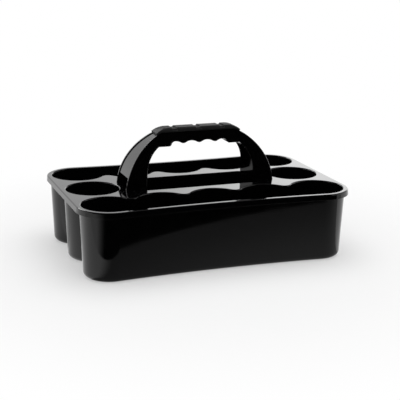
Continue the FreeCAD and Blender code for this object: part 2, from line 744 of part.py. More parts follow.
def hollow_outline(sizes, form):
    """Hollow of the right leg, open below and out through the doorway at its foot."""
    foot_z = sizes.deck_height - sizes.cutter_excess
    outside_x = sizes.foot_outer + sizes.cutter_excess
    wall_x = sizes.leg_inner + sizes.web_thickness
    inner_x, inner_z = form.inner_centre
    inner_radius = sizes.inner_arch_radius + sizes.web_thickness
    outer_radius = form.radius - sizes.web_recess - sizes.web_thickness
    top_z = sizes.deck_height + sizes.leg_hollow_height
    door_z = sizes.deck_height + sizes.doorway_height
    inner_top = math.degrees(math.asin((top_z - inner_z) / inner_radius))
    top_x = inner_x + inner_radius * math.cos(math.radians(inner_top))
    outer_top = form.angle_at(top_z, outer_radius)
    outer_foot = form.angle_at(door_z, outer_radius)
    at_wall = ("Sizes.leg_inner + Sizes.web_thickness", "Sizes.deck_height - Sizes.cutter_excess")
    at_top = (None, "Sizes.deck_height + Sizes.leg_hollow_height")
    at_door = (None, "Sizes.deck_height + Sizes.doorway_height")
    at_outside = ("Sizes.foot_outer + Sizes.cutter_excess", None)
    inner_size = "Sizes.inner_arch_radius + Sizes.web_thickness"
    outer_size = "Sizes.arch_radius - Sizes.web_recess - Sizes.web_thickness"
    pieces = [
        Line((wall_x, foot_z), (wall_x, inner_z), at_wall),
        Arc(form.inner_centre, inner_radius, 0, inner_top, False, (INNER_ARCH_X, INNER_ARCH_Z), inner_size),
        Line((top_x, top_z), form.on_arch(outer_top, outer_radius), at_top, "Horizontal"),
        Arc(form.centre, outer_radius, outer_foot, outer_top, True, (ARCH_X, ARCH_Z), outer_size),
        Line(form.on_arch(outer_foot, outer_radius), (outside_x, door_z), at_door, "Horizontal"),
        Line((outside_x, door_z), (outside_x, foot_z), at_outside, "Vertical"),
        Line((outside_x, foot_z), (wall_x, foot_z), lie="Horizontal"),
    ]
    return pieces, (1, 2, 3, 4, 5, 6)


def tongue_outline(sizes):
    """Snap tongue under the right leg, with its nose pointing away from the hand gap."""
    inner = "Sizes.leg_inner"
    outer = "Sizes.leg_inner + Sizes.tongue_thickness"
    nose = f"{outer} + Sizes.nose_reach"
    root = "Sizes.deck_height + Sizes.web_thickness"
    foot = "Sizes.deck_height - Sizes.tongue_length"
    places = [
        (inner, root),
        (inner, foot),
        (outer, foot),
        (nose, f"{foot} + Sizes.nose_height / 2"),
        (nose, f"{foot} + Sizes.nose_height"),
        (outer, f"{foot} + Sizes.nose_height"),
        (outer, root),
    ]
    points = [(sizes.value(x), sizes.value(z)) for x, z in places]
    ends = points[1:] + points[:1]
    pieces = [Line(start, end, at) for start, end, at in zip(points, ends, places)]
    return pieces, tuple(range(len(pieces)))


def cut_leg(doc, sizes, handle, room, name, word, outline):
    """Takes one region of a leg away between its two side plates."""
    sketch = upright_sketch(doc, f"{name}_{word}_outline", UPRIGHT_ALONG_X, outline)
    block = extrude(doc, sketch, f"{name}_{word}_block", Vector(0, 1, 0), HANDLE_WIDTH)
    cutter = combine(doc, "Common", f"{name}_{word}_cutter", block, room)
    return combine(doc, "Cut", f"handle_less_{name}_{word}", handle, cutter)


def handle_edges(shape, sizes, form):
    """Edges along both faces of the handle, each with its radius: outside, or around the hand gap."""
    edges = []
    for index, edge in enumerate(shape.Edges, start=1):
        span = edge.LastParameter - edge.FirstParameter
        points = [edge.valueAt(edge.FirstParameter + span * part) for part in (0.1, 0.5, 0.9)]
        if any(abs(abs(p.y) - form.half_width(sizes, p.z)) > NEAR for p in points):
            continue
        middle = points[1]
        level = max(p.z for p in points) - min(p.z for p in points) < NEAR
        if level and (middle.z < sizes.deck_height + NEAR or middle.z > form.seat - NEAR):
            continue
        from_arch = math.hypot(abs(middle.x) - form.centre[0], middle.z - form.centre[1])
        outside = from_arch > form.radius - NEAR and abs(middle.x) > form.centre[0]
        radius = sizes.edge_rounding if outside else sizes.inner_edge_rounding
        edges.append((index, radius, radius))
    return edges


def make_handle(doc, sizes, form):
    """The handle: an arch with webbed hollow legs, finger grooves and snap tongues."""
    arch = upright_sketch(doc, "handle_arch", UPRIGHT_ALONG_X, arch_outline(sizes, form))
    blank = extrude(doc, arch, "handle_blank", Vector(0, 1, 0), HANDLE_WIDTH)
    top = f"{SEAT} + Sizes.cutter_excess"
    outline = sides_outline(sizes, form, "0", "Sizes.deck_height", top)
    sides = upright_sketch(doc, "handle_sides", UPRIGHT_ALONG_Y, outline)
    limit = extrude(doc, sides, "handle_limit", Vector(1, 0, 0), HANDLE_LENGTH)
    handle = combine(doc, "Common", "handle_form", blank, limit)
    doc.recompute()
    handle = round_edges(doc, "handle_rounded", handle, handle_edges(handle.Shape, sizes, form))
    base = "Sizes.deck_height - 2 * Sizes.cutter_excess"
    outline = sides_outline(sizes, form, "Sizes.side_thickness", base, top)
    between = upright_sketch(doc, "between_sides", UPRIGHT_ALONG_Y, outline)
    room = extrude(doc, between, "room_between_sides", Vector(1, 0, 0), ROOM_LENGTH)
    for word, outline in (("web", web_outline(sizes, form)), ("hollow", hollow_outline(sizes, form))):
        handle = cut_leg(doc, sizes, handle, room, "right", word, outline)
        handle = cut_leg(doc, sizes, handle, room, "left", word, mirror_outline(outline))
    outline = tongue_outline(sizes)
    tongues = []
    for name, shape in (("right", outline), ("left", mirror_outline(outline))):
        sketch = upright_sketch(doc, f"{name}_tongue_outline", UPRIGHT_ALONG_X, shape)
        tongues.append(extrude(doc, sketch, f"{name}_tongue", Vector(0, 1, 0), "Sizes.tongue_width"))
    whole = doc.addObject("Part::MultiFuse", "handle_whole")
    whole.Shapes = [handle, *tongues]
    whole.Refine = True
    whole.Label = "handle"
    doc.recompute()
    return whole


def cover_outline(sizes, form):
    """Outline of the grip cover along X, hollowed below to sit on the arch."""
    top = form.seat + sizes.cover_height
    reach_angle = math.degrees(math.acos((sizes.cover_reach - form.centre[0]) / form.radius))
    seat_x = form.on_arch(form.seat_angle, form.radius)[0]
    inner = form.on_arch(reach_angle, form.radius)
    outer = form.on_arch(reach_angle, form.radius + sizes.cover_end_thickness)
    run, drop = outer[0] - sizes.cover_flat, top - outer[1]
    slope_radius = (run ** 2 + drop ** 2) / (2 * drop)
    slope_end = math.degrees(math.acos(run / slope_radius))
    at_arch, size = (ARCH_X, ARCH_Z), "Sizes.arch_radius"
    under = Arc(form.centre, form.radius, reach_angle, form.seat_angle, True, at_arch, size)
    slope_centre = (sizes.cover_flat, top - slope_radius)
    slope = Arc(slope_centre, slope_radius, slope_end, 90, at=("Sizes.cover_flat", None))
    at_top = (None, f"{SEAT} + Sizes.cover_height")
    pieces = [
        Line((-seat_x, form.seat), (seat_x, form.seat), (None, SEAT), "Horizontal"),
        under,
        Line(inner, outer, ("Sizes.cover_reach", None)),
        slope,
        Line((sizes.cover_flat, top), (-sizes.cover_flat, top), at_top, "Horizontal"),
        slope.mirrored(False).reversed(),
        Line((-outer[0], outer[1]), (-inner[0], inner[1])),
        under.mirrored(False).reversed(),
    ]
    return pieces, (0, 1, 2, 5, 6, 7)


def square_ends(sketch, sizes):
    """Sets the steps at the cover's ends square to the arch."""
    bind(sketch, "left_reach", "Sizes.cover_reach", "DistanceX", 6, 2, -1, 1, sizes.cover_reach)
    for name, step, under in (("right", 2, 1), ("left", 6, 7)):
        thickness = sizes.cover_end_thickness
        bind(sketch, f"{name}_step", "Sizes.cover_end_thickness", "Distance", step, thickness)
        sketch.addConstraint(Sketcher.Constraint("PointOnObject", under, 3, step))


def groove_outline(sizes):
    """Section of a cross groove: over the top of the cover and down both its sides."""
    foot = f"{SEAT} + Sizes.groove_margin"
    roof = f"{SEAT} + Sizes.cover_height - Sizes.groove_depth"
    side = "Sizes.cover_half_width - Sizes.groove_depth"
    wide = "Sizes.cover_half_width + Sizes.cutter_excess"
    high = f"{SEAT} + Sizes.cover_height + Sizes.cutter_excess"
    y, out_y = sizes.value(side), sizes.value(wide)
    foot_z, roof_z, high_z = sizes.value(foot), sizes.value(roof), sizes.value(high)
    radius = sizes.cover_rounding - sizes.groove_depth
    bend = Arc((y - radius, roof_z - radius), radius, 0, 90, size="Sizes.cover_rounding - Sizes.groove_depth")
    pieces = [
        Line((y, foot_z), (y, roof_z - radius), (side, foot), "Vertical"),
        bend,
        Line((y - radius, roof_z), (radius - y, roof_z), (None, roof), "Horizontal"),
        bend.mirrored(False).reversed(),
        Line((-y, roof_z - radius), (-y, foot_z), lie="Vertical"),
        Line((-y, foot_z), (-out_y, foot_z), (side, foot)),
        Line((-out_y, foot_z), (-out_y, high_z), (wide, foot)),
        Line((-out_y, high_z), (out_y, high_z), (wide, high)),
        Line((out_y, high_z), (out_y, foot_z), (wide, high)),
        Line((out_y, foot_z), (y, foot_z), (wide, foot)),
    ]
    return pieces, (4, 5, 6, 7, 8, 9)


def cover_edges(shape, sizes, form):
    """Long upper edges of the cover. Their rounding runs out towards the cover's ends."""
    edges = []
    for index, edge in enumerate(shape.Edges, start=1):
        start, end = (edge.valueAt(edge.FirstParameter), edge.valueAt(edge.LastParameter))
        middle = edge.valueAt((edge.FirstParameter + edge.LastParameter) / 2)
        on_side = abs(abs(middle.y) - sizes.cover_half_width) < NEAR
        along = abs(start.x - end.x) > sizes.cover_end_thickness
        if not (on_side and along) or middle.z < form.seat + NEAR:
            continue
        radii = []
        for point in (start, end):
            flat = abs(point.x) < sizes.cover_flat + NEAR
            radii.append(sizes.cover_rounding if flat else sizes.cover_end_rounding)
        edges.append((index, *radii))
    return edges


def make_grip_cover(doc, sizes, form):
    """The soft cover of the grip, with three cross grooves."""
    sketch = upright_sketch(doc, "cover_outline", UPRIGHT_ALONG_X, cover_outline(sizes, form))
    square_ends(sketch, sizes)
    block = extrude(doc, sketch, "cover_block", Vector(0, 1, 0), "2 * Sizes.cover_half_width")
    doc.recompute()
    cover = round_edges(doc, "cover_rounded", block, cover_edges(block.Shape, sizes, form))
    section = upright_sketch(doc, "groove_section", UPRIGHT_ALONG_Y, groove_outline(sizes))
    for name, place in (("left", -1), ("middle", 0), ("right", 1)):
        cutter = extrude(doc, section, f"{name}_groove_cutter", Vector(1, 0, 0), "Sizes.groove_width")
        cutter.setExpression("Placement.Base.x", f"{place} * Sizes.groove_pitch")
        cover = combine(doc, "Cut", f"cover_less_{name}_groove", cover, cutter)
    cover.Label = "grip_cover"
    doc.recompute()
    return cover


def check_objects(doc):
    """Stops the build where an object of the document failed."""
    for item in doc.Objects:
        if "Invalid" in item.State or "Error" in item.State:
            raise RuntimeError(f"{item.Label} failed: {item.State}")


def export_part(part):
    """Writes one sub-part, after a look at its shape."""
    shape = part.Shape
    if shape.isNull() or not shape.isValid() or len(shape.Solids) != 1:
        raise RuntimeError(f"{part.Label} isn't one valid solid")
    print(f"{part.Label}: {len(shape.Faces)} faces, {shape.Volume / 1000:.1f} cubic centimetres")
    shape.exportStep(f"parts/{part.Label}.step")


def main():
    doc = FreeCAD.newDocument("bottle_carrier_basket")
    sizes = Sizes(doc)
    form = HandleForm(sizes)
    parts = [make_basket(doc, sizes), make_handle(doc, sizes, form), make_grip_cover(doc, sizes, form)]
    doc.recompute()
    check_objects(doc)
    os.makedirs("parts", exist_ok=True)
    for part in parts:
        export_part(part)


main()
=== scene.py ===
"""Studio picture of a bottle carrier basket, built around its fixed CAD model.

The basket, its handle and its grip cover are shown as the CAD nodes. This script dresses them in
procedural plastics, lays the studio around them and sets up the camera. Lengths are in metres.
"""

import logging
import math
from dataclasses import dataclass, field
from enum import Enum

import bpy
from mathutils import Matrix, Vector

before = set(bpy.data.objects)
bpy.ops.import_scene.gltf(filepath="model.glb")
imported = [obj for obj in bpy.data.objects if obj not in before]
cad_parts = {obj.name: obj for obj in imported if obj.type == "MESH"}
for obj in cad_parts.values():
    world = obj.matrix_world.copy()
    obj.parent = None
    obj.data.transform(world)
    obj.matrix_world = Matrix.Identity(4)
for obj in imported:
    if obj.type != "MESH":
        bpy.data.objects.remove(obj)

log = logging.getLogger("scene")

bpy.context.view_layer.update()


class Socket(Enum):
    """Socket types of a node group's interface."""

    COLOUR = "NodeSocketColor"
    VALUE = "NodeSocketFloat"
    VECTOR = "NodeSocketVector"


class Part(Enum):
    """Names of the object's CAD nodes."""

    BASKET = "basket"
    HANDLE = "handle"
    GRIP_COVER = "grip_cover"


@dataclass(frozen=True)
class Lens:
    """Where the camera stands and what its lens covers.

    Attributes:
        target: point that the camera looks at.
        distance: from the target to the camera.
        azimuth: degrees around the object, where 0 looks along +Y.
        elevation: degrees above the horizon.
        roll: degrees about the line of sight.
        focal_length: in millimetres, on a sensor that is 36 mm wide.
    """

    target: tuple[float, float, float] = (0.00798, -0.000285, 0.070497)
    distance: float = 1.54739
    azimuth: float = -20.841
    elevation: float = 15.55
    roll: float = 0.972
    focal_length: float = 92.997


@dataclass(frozen=True)
class PlasticFinish:
    """Look of a moulded plastic.

    Attributes:
        base: colour of clean plastic, linear.
        worn: colour along its rubbed edges, linear.
        ior: index of refraction, which sets how strongly it mirrors.
        gloss: roughness of the polished surface.
        haze: roughness that smears and handling add in patches.
        ripple: height of the slow waves left by the mould, in metres.
        ripple_scale: how many such waves fit in a metre.
        grain: height of the fine grain, in metres.
        grain_scale: how many grains fit in a metre.
        edge_radius: width over which a sharp edge catches the light, in metres.
        dust: how much pale dust lies on upward faces, 0 to 1.
    """

    base: tuple[float, float, float]
    worn: tuple[float, float, float]
    ior: float
    gloss: float
    haze: float
    ripple: float
    ripple_scale: float
    grain: float
    grain_scale: float
    edge_radius: float
    dust: float


@dataclass(frozen=True)
class Lamp:
    """A soft rectangular studio lamp.

    Attributes:
        name: name of the lamp.
        place: centre of the lamp.
        aim: point that it faces.
        size: its width and height.
        radiance: brightness of its surface, where 1 mirrors as white.
        mirrored: whether reflections show it.
        lights: whether it lights matt surfaces.
    """

    name: str
    place: tuple[float, float, float]
    aim: tuple[float, float, float]
    size: tuple[float, float]
    radiance: float
    mirrored: bool = True
    lights: bool = True

    @property
    def power(self) -> float:
        """Watts that give the lamp its radiance."""
        return math.pi * self.size[0] * self.size[1] * self.radiance


@dataclass(frozen=True)
class Fan:
    """A glow that fades with the heading from a point of a card.

    Attributes:
        centre: the point, in the camera's heading: to the right and away from it.
        slopes: steps to the right per step towards the camera, where the glow is full and gone.
        level: brightness of the full glow.
    """

    centre: tuple[float, float]
    slopes: tuple[float, float]
    level: float


@dataclass(frozen=True)
class Ramp:
    """A brightness that changes along one axis of a card.

    Attributes:
        axis: X or Y.
        reach: where the change begins and ends.
        levels: brightness before and after it.
    """

    axis: str
    reach: tuple[float, float]
    levels: tuple[float, float]


@dataclass(frozen=True)
class Card:
    """A glowing rectangle that only reflections show.

    Attributes:
        name: name of the rectangle.
        size: its width and its depth, or its height where it stands.
        place: its centre: to the right, away from the camera, and up.
        ramps: changes of its brightness, which are multiplied.
        fan: a glow that is added, for a card that lies flat.
        stands: whether it stands upright and doesn't lie flat.
        squared: whether it is square to the camera's heading and not to the object.
    """

    name: str
    size: tuple[float, float]
    place: tuple[float, float, float]
    ramps: tuple[Ramp, ...]
    fan: Fan | None = None
    stands: bool = False
    squared: bool = True


WHITE = (1.0, 1.0, 1.0, 1.0)

BASKET_FINISH = PlasticFinish(
    base=(0.0010, 0.0010, 0.0011),
    worn=(0.012, 0.012, 0.012),
    ior=1.48,
    gloss=0.06,
    haze=0.05,
    ripple=0.00006,
    ripple_scale=16.0,
    grain=0.000004,
    grain_scale=2600.0,
    edge_radius=0.0006,
    dust=0.25,
)

HANDLE_FINISH = PlasticFinish(
    base=(0.0010, 0.0010, 0.0011),
    worn=(0.012, 0.012, 0.012),
    ior=1.48,
    gloss=0.07,
    haze=0.06,
    ripple=0.00004,
    ripple_scale=22.0,
    grain=0.000006,
    grain_scale=2200.0,
    edge_radius=0.0005,
    dust=0.2,
)

COVER_FINISH = PlasticFinish(
    base=(0.008, 0.008, 0.0083),
    worn=(0.022, 0.022, 0.022),
    ior=1.30,
    gloss=0.50,
    haze=0.12,
    ripple=0.00003,
    ripple_scale=40.0,
    grain=0.00002,
    grain_scale=1500.0,
    edge_radius=0.0008,
    dust=0.4,
)

TOP_LAMP = Lamp(
    name="top_softbox",
    place=(0.1, 0.1, 1.8),
    aim=(0.0, 0.0, 0.0),
    size=(2.2, 2.2),
    radiance=2.5,
    mirrored=False,
)

SIDE_LAMP = Lamp(
    name="left_strip",
    place=(-0.42, 1.35, 1.05),
    aim=(0.0, 0.0, 0.15),
    size=(0.7, 0.42),
    radiance=7.0,
    lights=False,
)

SHEET_EDGE = 0.25  # how far the white sheet reaches towards the camera
CARD_LIFT = 0.001  # height of the flat cards above the floor
LEAST_STEP = 0.001  # nearest that a fan's slope is worked out to its centre
DARK_SIZE = (7.6, 2.6)
DIM_SIZE = (1.2, 0.22)
CORNER = (-0.139, -0.168)  # the object's front left corner, right and away
DARK = Ramp("X", (0.0, 1.0), (0.0, 0.0))

CARDS = (
    Card(
        name="dark_floor_card",
        size=DARK_SIZE,
        place=(0.0, -SHEET_EDGE - DARK_SIZE[1] / 2, CARD_LIFT),
        ramps=(DARK,),
        fan=Fan(CORNER, (-1.0, 0.0), 0.75),
    ),
    Card(
        name="dark_wall_card",
        size=(DARK_SIZE[0], 3.0),
        place=(0.0, -SHEET_EDGE - DARK_SIZE[1], 1.4),
        ramps=(DARK,),
        stands=True,
    ),
    Card(
        name="grey_overhead_card",
        size=(DARK_SIZE[0], DARK_SIZE[0]),
        place=(0.0, 0.5, 2.2),
        ramps=(Ramp("Y", (-1.3, 0.0), (0.0, 0.34)), Ramp("Y", (1.0, 2.6), (1.0, 0.05))),
    ),
    Card(
        name="back_panel",
        size=(4.4, 0.78),
        place=(0.6, 1.35, 0.40),
        ramps=(Ramp("X", (-0.5, 0.35), (1.1, 2.5)),),
        stands=True,
        squared=False,
    ),
    Card(
        name="front_sheet",
        size=DIM_SIZE,
        place=(-0.40 + DIM_SIZE[0] / 2, -SHEET_EDGE + DIM_SIZE[1] / 2, CARD_LIFT),
        ramps=(Ramp("Y", (-0.11, 0.11), (0.16, 0.38)),),
        fan=Fan(CORNER, (-0.5, 0.75), 0.72),
    ),
)

DUST_COLOUR = (0.30, 0.29, 0.28)
DUST_HAZE = 0.5  # roughness that dust adds
SCRATCH_HAZE = 0.05  # roughness that a scratch adds
MOTTLE_SHADE = 0.6  # darkest share of a plastic's base colour
WORN_REACH = 1.6  # width of a rubbed edge, over that of its highlight


class NodeTree:
    """A shader node tree with short calls to add and join nodes."""

    def __init__(self, tree: bpy.types.NodeTree) -> None:
        """Wraps a tree.

        Args:
            tree: the node tree of a material, a world or a node group.
        """
        self.tree = tree

    def add(self, kind: str, **values: object) -> bpy.types.Node:
        """Adds a node.

        Args:
            kind: the node's type, without its ShaderNode prefix.
            values: attributes of the node, or default values of its inputs written with a
                leading underscore, such as _Scale for the input Scale.

        Returns:
            The new node.
        """
        node = self.tree.nodes.new(kind if kind.startswith("Node") else f"ShaderNode{kind}")
        for name, value in values.items():
            if name.startswith("_"):
                node.inputs[name[1:].replace("_", " ")].default_value = value
            else:
                setattr(node, name, value)
        return node

    def join(self, start: bpy.types.NodeSocket, end: bpy.types.NodeSocket) -> None:
        """Links two sockets.

        Args:
            start: the output socket.
            end: the input socket.
        """
        self.tree.links.new(start, end)

    def maths(
        self, operation: str, first: object, second: object, clamp: bool = False
    ) -> bpy.types.NodeSocket:
        """Adds a maths node.

        Args:
            operation: name of the operation, such as MULTIPLY.
            first: a socket or a number.
            second: a socket or a number.
            clamp: whether the result is kept between 0 and 1.

        Returns:
            The result's socket.
        """
        node = self.add("Math", operation=operation, use_clamp=clamp)
        for index, value in enumerate((first, second)):
            if isinstance(value, bpy.types.NodeSocket):
                self.join(value, node.inputs[index])
            else:
                node.inputs[index].default_value = value
        return node.outputs[0]

    def remap(
        self, value: bpy.types.NodeSocket, old: tuple[float, float], new: tuple[float, float]
    ) -> bpy.types.NodeSocket:
        """Maps a value smoothly from one range to another.

        Args:
            value: the socket that is read.
            old: low and high end of the range read.
            new: what those ends become.

        Returns:
            The mapped value's socket.
        """
        node = self.add("MapRange", interpolation_type="SMOOTHSTEP")
        self.join(value, node.inputs["Value"])
        node.inputs["From Min"].default_value = old[0]
        node.inputs["From Max"].default_value = old[1]
        node.inputs["To Min"].default_value = new[0]
        node.inputs["To Max"].default_value = new[1]
        return node.outputs["Result"]

    def blend(
        self, factor: bpy.types.NodeSocket, first: object, second: object
    ) -> bpy.types.NodeSocket:
        """Mixes two colours.

        Args:
            factor: socket that is 0 for the first colour and 1 for the second.
            first: a socket or a linear colour of three numbers.
            second: a socket or a linear colour of three numbers.

        Returns:
            The mixed colour's socket.
        """
        node = self.add("Mix", data_type="RGBA")
        self.join(factor, node.inputs["Factor"])
        for name, value in (("A", first), ("B", second)):
            socket = next(s for s in node.inputs if s.name == name and s.type == "RGBA")
            if isinstance(value, bpy.types.NodeSocket):
                self.join(value, socket)
            else:
                socket.default_value = (*value, 1.0)
        return next(s for s in node.outputs if s.type == "RGBA")

    def seen_rays(self) -> bpy.types.NodeSocket:
        """Tells the rays that look at a surface from those that only light others.

        Returns:
            A socket that is 1 for camera, glossy and transmission rays and 0 for the rest.
        """
        path = self.add("LightPath")
        camera, glossy = path.outputs["Is Camera Ray"], path.outputs["Is Glossy Ray"]
        seen = self.maths("ADD", camera, glossy, clamp=True)
        return self.maths("ADD", seen, path.outputs["Is Transmission Ray"], clamp=True)


class Group:
    """A shader node group that several materials share."""

    def __init__(
        self, name: str, inputs: dict[str, tuple[Socket, float]], outputs: dict[str, Socket]
    ) -> None:
        """Makes an empty group with its interface.

        Args:
            name: name of the group.
            inputs: each input's type and default number.
            outputs: each output's type.
        """
        self.data = bpy.data.node_groups.new(name, "ShaderNodeTree")
        for label, (kind, default) in inputs.items():
            socket = self.data.interface.new_socket(label, in_out="INPUT", socket_type=kind.value)
            if kind is Socket.VALUE:
                socket.default_value = default
        for label, kind in outputs.items():
            self.data.interface.new_socket(label, in_out="OUTPUT", socket_type=kind.value)
        self.nodes = NodeTree(self.data)
        self.entry = self.nodes.add("NodeGroupInput")
        self.exit = self.nodes.add("NodeGroupOutput")

    def use(self, tree: NodeTree, **links: object) -> bpy.types.Node:
        """Places the group in another tree.

        Args:
            tree: the tree that uses it.
            links: sockets or numbers for its inputs, with underscores for spaces.

        Returns:
            The group's node there.
        """
        node = tree.add("Group", node_tree=self.data)
        for name, value in links.items():
            socket = node.inputs[name.replace("_", " ")]
            if isinstance(value, bpy.types.NodeSocket):
                tree.join(value, socket)
            else:
                socket.default_value = value
        return node


class PlasticGroups:
    """The node groups that every plastic shares. Each is built once."""

    def __init__(self) -> None:
        """Builds the groups."""
        self.surface = self._surface()
        self.handling = self._handling()
        self.edges = self._edges()
        self.dust = self._dust()

    @staticmethod
    def _surface() -> Group:
        """Builds the moulded surface: slow waves from the mould under a fine grain.

        Returns:
            A group that turns heights and scales into a normal.
        """
        group = Group(
            "moulded_surface",
            {
                "Ripple": (Socket.VALUE, 0.0),
                "Ripple Scale": (Socket.VALUE, 10.0),
                "Grain": (Socket.VALUE, 0.0),
                "Grain Scale": (Socket.VALUE, 1000.0),
                "Edge Radius": (Socket.VALUE, 0.0005),
            },
            {"Normal": Socket.VECTOR},
        )
        nodes, entry = group.nodes, group.entry
        place = nodes.add("TexCoord").outputs["Object"]
        ripple = nodes.add("TexNoise", _Detail=1.5, _Roughness=0.4)
        grain = nodes.add("TexNoise", _Detail=3.0, _Roughness=0.6)
        for noise, scale in ((ripple, "Ripple Scale"), (grain, "Grain Scale")):
            nodes.join(place, noise.inputs["Vector"])
            nodes.join(entry.outputs[scale], noise.inputs["Scale"])
        bevel = nodes.add("Bevel", samples=6)
        nodes.join(entry.outputs["Edge Radius"], bevel.inputs["Radius"])
        normal = bevel.outputs["Normal"]
        for noise, height in ((ripple, "Ripple"), (grain, "Grain")):
            bump = nodes.add("Bump", _Strength=1.0)
            nodes.join(noise.outputs["Fac"], bump.inputs["Height"])
            nodes.join(entry.outputs[height], bump.inputs["Distance"])
            nodes.join(normal, bump.inputs["Normal"])
            normal = bump.outputs["Normal"]
        nodes.join(normal, group.exit.inputs["Normal"])
        return group

    @staticmethod
    def _handling() -> Group:
        """Builds the marks of handling: hazy patches and fine scratches.

        Returns:
            A group that turns a clean roughness and a haze into a varied roughness.
        """
        group = Group(
            "handling_marks",
            {"Gloss": (Socket.VALUE, 0.1), "Haze": (Socket.VALUE, 0.1)},
            {"Roughness": Socket.VALUE, "Scratch": Socket.VALUE},
        )
        nodes, entry = group.nodes, group.entry
        place = nodes.add("TexCoord").outputs["Object"]
        patches = nodes.add("TexNoise", _Scale=26.0, _Detail=6.0, _Roughness=0.62, _Distortion=0.6)
        nodes.join(place, patches.inputs["Vector"])
        patch = nodes.remap(patches.outputs["Fac"], (0.42, 0.72), (0.0, 1.0))
        stretch = nodes.add("Mapping", _Rotation=(0.5, 0.3, 0.6), _Scale=(1.0, 26.0, 3.0))
        nodes.join(place, stretch.inputs["Vector"])
        lines = nodes.add("TexNoise", _Scale=60.0, _Detail=2.0, _Roughness=0.5)
        nodes.join(stretch.outputs["Vector"], lines.inputs["Vector"])
        scratch = nodes.remap(lines.outputs["Fac"], (0.66, 0.74), (0.0, 1.0))
        hazed = nodes.maths("MULTIPLY", patch, entry.outputs["Haze"])
        rough = nodes.maths("ADD", entry.outputs["Gloss"], hazed)
        marked = nodes.maths("MULTIPLY_ADD", scratch, SCRATCH_HAZE)
        nodes.join(rough, marked.node.inputs[2])
        nodes.join(marked, group.exit.inputs["Roughness"])
        nodes.join(scratch, group.exit.inputs["Scratch"])
        return group

    @staticmethod
    def _edges() -> Group:
        """Builds the mask of rubbed edges, from how far a bevelled normal leaves the true one.

        Returns:
            A group that turns an edge radius into a mask.
        """
        group = Group(
            "rubbed_edges",
            {"Edge Radius": (Socket.VALUE, 0.001)},
            {"Mask": Socket.VALUE},
        )
        nodes, entry = group.nodes, group.entry
        geometry = nodes.add("NewGeometry")
        bevel = nodes.add("Bevel", samples=6)
        nodes.join(entry.outputs["Edge Radius"], bevel.inputs["Radius"])
        dot = nodes.add("VectorMath", operation="DOT_PRODUCT")
        nodes.join(bevel.outputs["Normal"], dot.inputs[0])
        nodes.join(geometry.outputs["Normal"], dot.inputs[1])
        bend = nodes.maths("SUBTRACT", 1.0, dot.outputs["Value"], clamp=True)
        noise = nodes.add("TexNoise", _Scale=180.0, _Detail=4.0)
        nodes.join(nodes.add("TexCoord").outputs["Object"], noise.inputs["Vector"])
        broken = nodes.remap(noise.outputs["Fac"], (0.35, 0.65), (0.2, 1.0))
        edge = nodes.remap(bend, (0.01, 0.16), (0.0, 1.0))
        nodes.join(nodes.maths("MULTIPLY", edge, broken), group.exit.inputs["Mask"])
        return group

    @staticmethod
    def _dust() -> Group:
        """Builds the mask of dust, sparse specks on faces that look upwards.

        Returns:
            A group that turns an amount into a mask.
        """
        group = Group(
            "settled_dust",
            {"Amount": (Socket.VALUE, 0.2)},
            {"Mask": Socket.VALUE},
        )
        nodes, entry = group.nodes, group.entry
        geometry = nodes.add("NewGeometry")
        upward = nodes.add("SeparateXYZ")
        nodes.join(geometry.outputs["Normal"], upward.inputs["Vector"])
        facing = nodes.remap(upward.outputs["Z"], (0.3, 0.95), (0.0, 1.0))
        cells = nodes.add("TexVoronoi", _Scale=420.0, _Randomness=1.0)
        nodes.join(nodes.add("TexCoord").outputs["Object"], cells.inputs["Vector"])
        speck = nodes.remap(cells.outputs["Distance"], (0.05, 0.13), (1.0, 0.0))
        tint = nodes.add("SeparateColor")
        nodes.join(cells.outputs["Color"], tint.inputs["Color"])
        chosen = nodes.remap(tint.outputs["Red"], (0.80, 0.86), (0.0, 1.0))
        settled = nodes.maths("MULTIPLY", nodes.maths("MULTIPLY", speck, chosen), facing)
        mask = nodes.maths("MULTIPLY", settled, entry.outputs["Amount"])
        nodes.join(mask, group.exit.inputs["Mask"])
        return group


@dataclass
class Plastic:
    """A moulded plastic material.

    Attributes:
        name: name of the material.
        finish: its look.
        groups: the shared node groups.
    """

    name: str
    finish: PlasticFinish
    groups: PlasticGroups

    def build(self) -> bpy.types.Material:
        """Builds the material.

        Returns:
            The material.
        """
        material = bpy.data.materials.new(self.name)
        material.use_nodes = True
        material.node_tree.nodes.clear()
        nodes, look = NodeTree(material.node_tree), self.finish
        worn_radius = look.edge_radius * WORN_REACH
        edge = self.groups.edges.use(nodes, Edge_Radius=worn_radius).outputs["Mask"]
        dust = self.groups.dust.use(nodes, Amount=look.dust).outputs["Mask"]
        handling = self.groups.handling.use(nodes, Gloss=look.gloss, Haze=look.haze)
        surface = self.groups.surface.use(
            nodes,
            Ripple=look.ripple,
            Ripple_Scale=look.ripple_scale,
            Grain=look.grain,
            Grain_Scale=look.grain_scale,
            Edge_Radius=look.edge_radius,
        )
        mottle = nodes.add("TexNoise", _Scale=55.0, _Detail=5.0)
        nodes.join(nodes.add("TexCoord").outputs["Object"], mottle.inputs["Vector"])
        deep = tuple(channel * MOTTLE_SHADE for channel in look.base)
        clean = nodes.blend(mottle.outputs["Fac"], deep, look.base)
        rubbed = nodes.blend(edge, clean, look.worn)
        colour = nodes.blend(dust, rubbed, DUST_COLOUR)
        rough = nodes.maths("MULTIPLY_ADD", dust, DUST_HAZE)
        nodes.join(handling.outputs["Roughness"], rough.node.inputs[2])
        shader = nodes.add("BsdfPrincipled", _IOR=look.ior)
        nodes.join(colour, shader.inputs["Base Color"])
        nodes.join(rough, shader.inputs["Roughness"])
        nodes.join(surface.outputs["Normal"], shader.inputs["Normal"])
        nodes.join(shader.outputs["BSDF"], nodes.add("OutputMaterial").inputs["Surface"])
        return material


